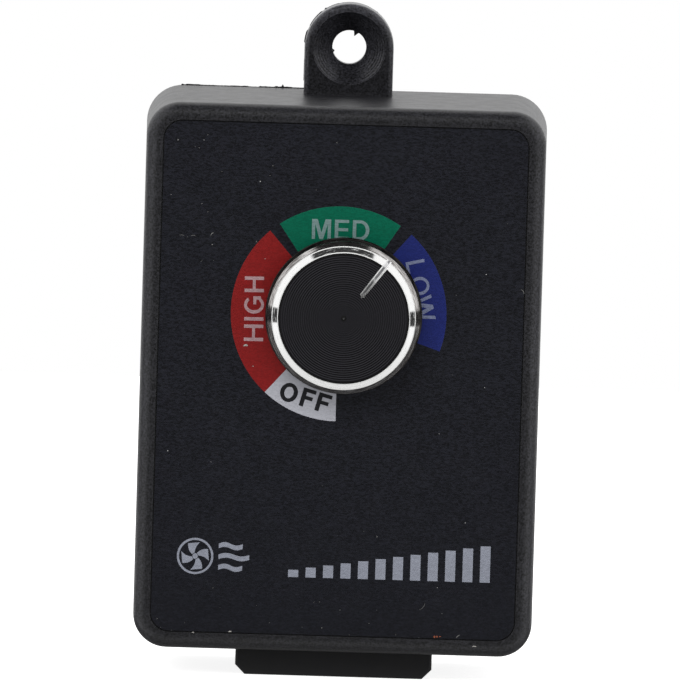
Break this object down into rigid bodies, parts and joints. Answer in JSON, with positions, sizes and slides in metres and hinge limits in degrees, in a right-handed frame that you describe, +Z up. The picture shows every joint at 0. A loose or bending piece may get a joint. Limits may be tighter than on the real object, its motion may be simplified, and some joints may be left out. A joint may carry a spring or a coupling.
{
  "type": "fan speed control switch",
  "caption": "Wall-hung black plug-through control box: a turning knob over an off, high, medium and low colour dial sets the speed of a fan fed from the mains outlet in its bottom.",
  "frame": {"origin": "centre of the flat back of the box, in the plane of the wall it hangs on", "axes": "+Z up towards the hanging lug, -Y out of the front face, +X to the viewer's right"},
  "size_m": [0.071, 0.0452, 0.1175],
  "materials": {
    "housing": "fine spark-eroded black moulding",
    "cover": "plain black moulding",
    "label": "fine-grained black face film",
    "ink_white": "screen-printed white",
    "ink_red": "screen-printed red",
    "ink_green": "screen-printed green",
    "ink_blue": "screen-printed blue",
    "knob_metal": "turned, black face, bright cut bevel",
    "knob_plastic": "black moulding",
    "outlet": "smooth black moulding",
    "rubber": "satin black rubber",
    "steel": "zinc-plated",
    "nickel": "nickel-plated",
    "brass": "bare spring brass",
    "phenolic": "brown laminate",
    "carbon": "carbon film",
    "board": "green solder mask",
    "aluminium": "extruded",
    "epoxy": "black epoxy",
    "film_box": "yellow potting box",
    "ferrite": "sintered ferrite",
    "enamel": "enamelled copper",
    "resistor": "lacquer",
    "glass_red": "clear glass",
    "varistor_blue": "dipped lacquer",
    "terminal": "green moulding",
    "lead_black": "insulation",
    "lead_white": "insulation",
    "lead_green": "insulation",
    "lead_grey": "insulation"
  },
  "bodies": {
    "root": {"front_shell": "housing", "rear_cover": "cover", "cover_screws": "steel", "face_label": "label", "print_off": "ink_white", "print_high": "ink_red", "print_med": "ink_green", "print_low": "ink_blue", "pot_bush": "nickel", "pot_washer": "steel", "pot_nut": "nickel", "pot_wafer": "phenolic", "pot_track": "carbon", "pot_terminals": "steel", "pot_case": "steel", "switch_can": "knob_plastic", "switch_terminals": "brass", "outlet_body": "outlet", "live_contact": "brass", "neutral_contact": "brass", "earth_contact": "brass", "cord_grommet": "rubber", "circuit_board": "board", "board_screws": "steel", "heat_sink": "aluminium", "triac": "epoxy", "triac_screw": "steel", "film_capacitor": "film_box", "timing_capacitor": "film_box", "choke_core": "ferrite", "choke_winding": "enamel", "snubber_resistor": "resistor", "timing_resistors": "resistor", "diac": "glass_red", "fuse": "glass_red", "fuse_clips": "steel", "varistor": "varistor_blue", "terminal_block": "terminal", "terminal_screws": "steel", "lead_supply": "lead_black", "lead_switched": "lead_black", "lead_track_end": "lead_grey", "lead_track_wiper": "lead_grey", "lead_load": "lead_black", "lead_neutral": "lead_white", "lead_earth": "lead_green"},
    "knob": {"knob_cap": "knob_metal", "knob_core": "knob_plastic", "pot_shaft": "nickel", "pot_rotor": "knob_plastic", "pot_wiper": "brass"}
  },
  "joints": [
    {"name": "knob_turn", "type": "hinge", "parent": "root", "child": "knob", "pos_m": [0.00041, -0.0384, 0.01155], "axis": [0, 1, 0], "range_deg": [-197, 72]}
  ]
}
